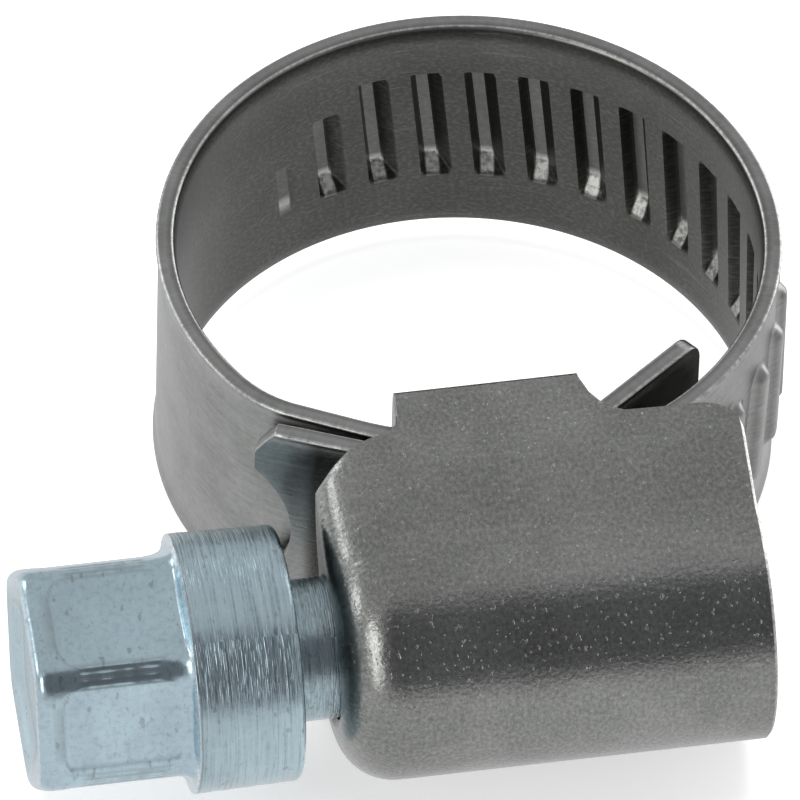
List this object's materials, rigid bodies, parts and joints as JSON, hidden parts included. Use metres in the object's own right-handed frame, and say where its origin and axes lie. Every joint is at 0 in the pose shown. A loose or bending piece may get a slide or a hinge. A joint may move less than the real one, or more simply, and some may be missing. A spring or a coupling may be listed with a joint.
{
  "type": "hose clamp",
  "caption": "Worm-drive hose clamp: slotted-thread steel band ring, one-piece pressed housing and hexagon-head worm screw that tightens the band.",
  "frame": {"origin": "centre of the ring, half way up the band: the axis of the hose", "axes": "+Z along the hose, +X along the screw's axis away from its head, +Y from the housing across the ring"},
  "size_m": [0.0266, 0.0273, 0.011],
  "materials": {
    "band_steel": "dull rolled stainless steel, lightly scratched",
    "housing_steel": "satin stamped stainless steel",
    "screw_zinc": "bright blue-white zinc plating with turning marks"
  },
  "bodies": {
    "housing": {"housing": "housing_steel", "band_fixed_end": "band_steel"},
    "screw": {"screw": "screw_zinc"},
    "band_threaded_end": {"band_threaded_end": "band_steel"},
    "band_span_1": {"band_span_1": "band_steel"},
    "band_span_2": {"band_span_2": "band_steel"},
    "band_span_3": {"band_span_3": "band_steel"},
    "band_span_4": {"band_span_4": "band_steel"},
    "band_span_5": {"band_span_5": "band_steel"},
    "band_span_6": {"band_span_6": "band_steel"},
    "band_span_7": {"band_span_7": "band_steel"}
  },
  "joints": [
    {"name": "screw_turn", "type": "hinge", "parent": "housing", "child": "screw", "pos_m": [0, -0.01265, 0], "axis": [1, 0, 0], "range_deg": [-828, 360]},
    {"name": "band_drive", "type": "hinge", "parent": "housing", "child": "band_threaded_end", "pos_m": [0, 0.0017, 0], "axis": [0, 0, 1], "range_deg": [-9.34, 21.46]},
    {"name": "band_flex_1", "type": "hinge", "parent": "band_threaded_end", "child": "band_span_1", "pos_m": [0.00645, -0.00711, 0], "axis": [0, 0, 1], "range_deg": [-2.7, 1.18]},
    {"name": "band_flex_2", "type": "hinge", "parent": "band_span_1", "child": "band_span_2", "pos_m": [0.00957, -0.00078, 0], "axis": [0, 0, 1], "range_deg": [-3.02, 1.32]},
    {"name": "band_flex_3", "type": "hinge", "parent": "band_span_2", "child": "band_span_3", "pos_m": [0.00752, 0.00597, 0], "axis": [0, 0, 1], "range_deg": [-3.23, 1.41]},
    {"name": "band_flex_4", "type": "hinge", "parent": "band_span_3", "child": "band_span_4", "pos_m": [0.00141, 0.0095, 0], "axis": [0, 0, 1], "range_deg": [-3.34, 1.46]},
    {"name": "band_flex_5", "type": "hinge", "parent": "band_span_4", "child": "band_span_5", "pos_m": [-0.00546, 0.00789, 0], "axis": [0, 0, 1], "range_deg": [-3.34, 1.46]},
    {"name": "band_flex_6", "type": "hinge", "parent": "band_span_5", "child": "band_span_6", "pos_m": [-0.00938, 0.00203, 0], "axis": [0, 0, 1], "range_deg": [-3.12, 1.37]},
    {"name": "band_flex_7", "type": "hinge", "parent": "band_span_6", "child": "band_span_7", "pos_m": [-0.00824, -0.00493, 0], "axis": [0, 0, 1], "range_deg": [-2.8, 1.23]}
  ],
  "couplings": [
    {"joint": "band_drive", "follows": "screw_turn", "ratio": -0.025895},
    {"joint": "band_flex_1", "follows": "screw_turn", "ratio": 0.0032369},
    {"joint": "band_flex_2", "follows": "screw_turn", "ratio": 0.0036253},
    {"joint": "band_flex_3", "follows": "screw_turn", "ratio": 0.0038842},
    {"joint": "band_flex_4", "follows": "screw_turn", "ratio": 0.0040137},
    {"joint": "band_flex_5", "follows": "screw_turn", "ratio": 0.0040137},
    {"joint": "band_flex_6", "follows": "screw_turn", "ratio": 0.0037548},
    {"joint": "band_flex_7", "follows": "screw_turn", "ratio": 0.0033663}
  ]
}
